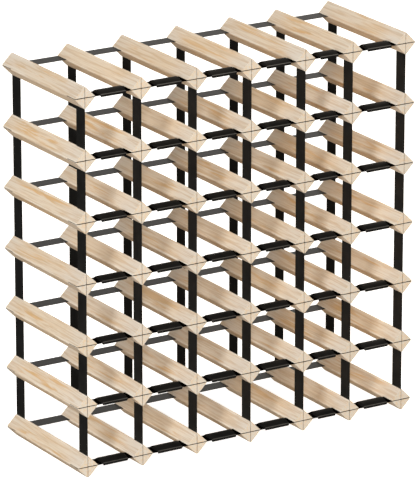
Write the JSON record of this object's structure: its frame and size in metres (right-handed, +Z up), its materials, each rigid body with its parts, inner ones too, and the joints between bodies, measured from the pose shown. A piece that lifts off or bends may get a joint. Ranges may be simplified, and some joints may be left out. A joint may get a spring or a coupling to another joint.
{
  "type": "wine rack",
  "caption": "Free-standing wine rack: square pine bars set on their corners, held in an open grid by black steel strips let into saw kerfs at both ends of each bar.",
  "frame": {"origin": "middle of the rack at floor level", "axes": "+X along the width to the right as seen from the front, the front faces -Y, +Z up"},
  "size_m": [0.606, 0.22, 0.617],
  "materials": {
    "pine": "planed and sanded pale pine, unfinished",
    "black_steel": "satin black coated steel strip"
  },
  "bodies": {
    "root": {"bar_row1_column1": "pine", "bar_row1_column2": "pine", "bar_row1_column3": "pine", "bar_row1_column4": "pine", "bar_row1_column5": "pine", "bar_row1_column6": "pine", "bar_row1_column7": "pine", "bar_row2_column1": "pine", "bar_row2_column2": "pine", "bar_row2_column3": "pine", "bar_row2_column4": "pine", "bar_row2_column5": "pine", "bar_row2_column6": "pine", "bar_row2_column7": "pine", "bar_row3_column1": "pine", "bar_row3_column2": "pine", "bar_row3_column3": "pine", "bar_row3_column4": "pine", "bar_row3_column5": "pine", "bar_row3_column6": "pine", "bar_row3_column7": "pine", "bar_row4_column1": "pine", "bar_row4_column2": "pine", "bar_row4_column3": "pine", "bar_row4_column4": "pine", "bar_row4_column5": "pine", "bar_row4_column6": "pine", "bar_row4_column7": "pine", "bar_row5_column1": "pine", "bar_row5_column2": "pine", "bar_row5_column3": "pine", "bar_row5_column4": "pine", "bar_row5_column5": "pine", "bar_row5_column6": "pine", "bar_row5_column7": "pine", "bar_row6_column1": "pine", "bar_row6_column2": "pine", "bar_row6_column3": "pine", "bar_row6_column4": "pine", "bar_row6_column5": "pine", "bar_row6_column6": "pine", "bar_row6_column7": "pine", "bar_row7_column1": "pine", "bar_row7_column2": "pine", "bar_row7_column3": "pine", "bar_row7_column4": "pine", "bar_row7_column5": "pine", "bar_row7_column6": "pine", "bar_row7_column7": "pine", "front_frame": "black_steel", "front_cross_strip_row1": "black_steel", "front_cross_strip_row3": "black_steel", "front_cross_strip_row5": "black_steel", "front_cross_strip_row7": "black_steel", "rear_frame": "black_steel", "rear_cross_strip_row1": "black_steel", "rear_cross_strip_row3": "black_steel", "rear_cross_strip_row5": "black_steel", "rear_cross_strip_row7": "black_steel"}
  },
  "joints": []
}
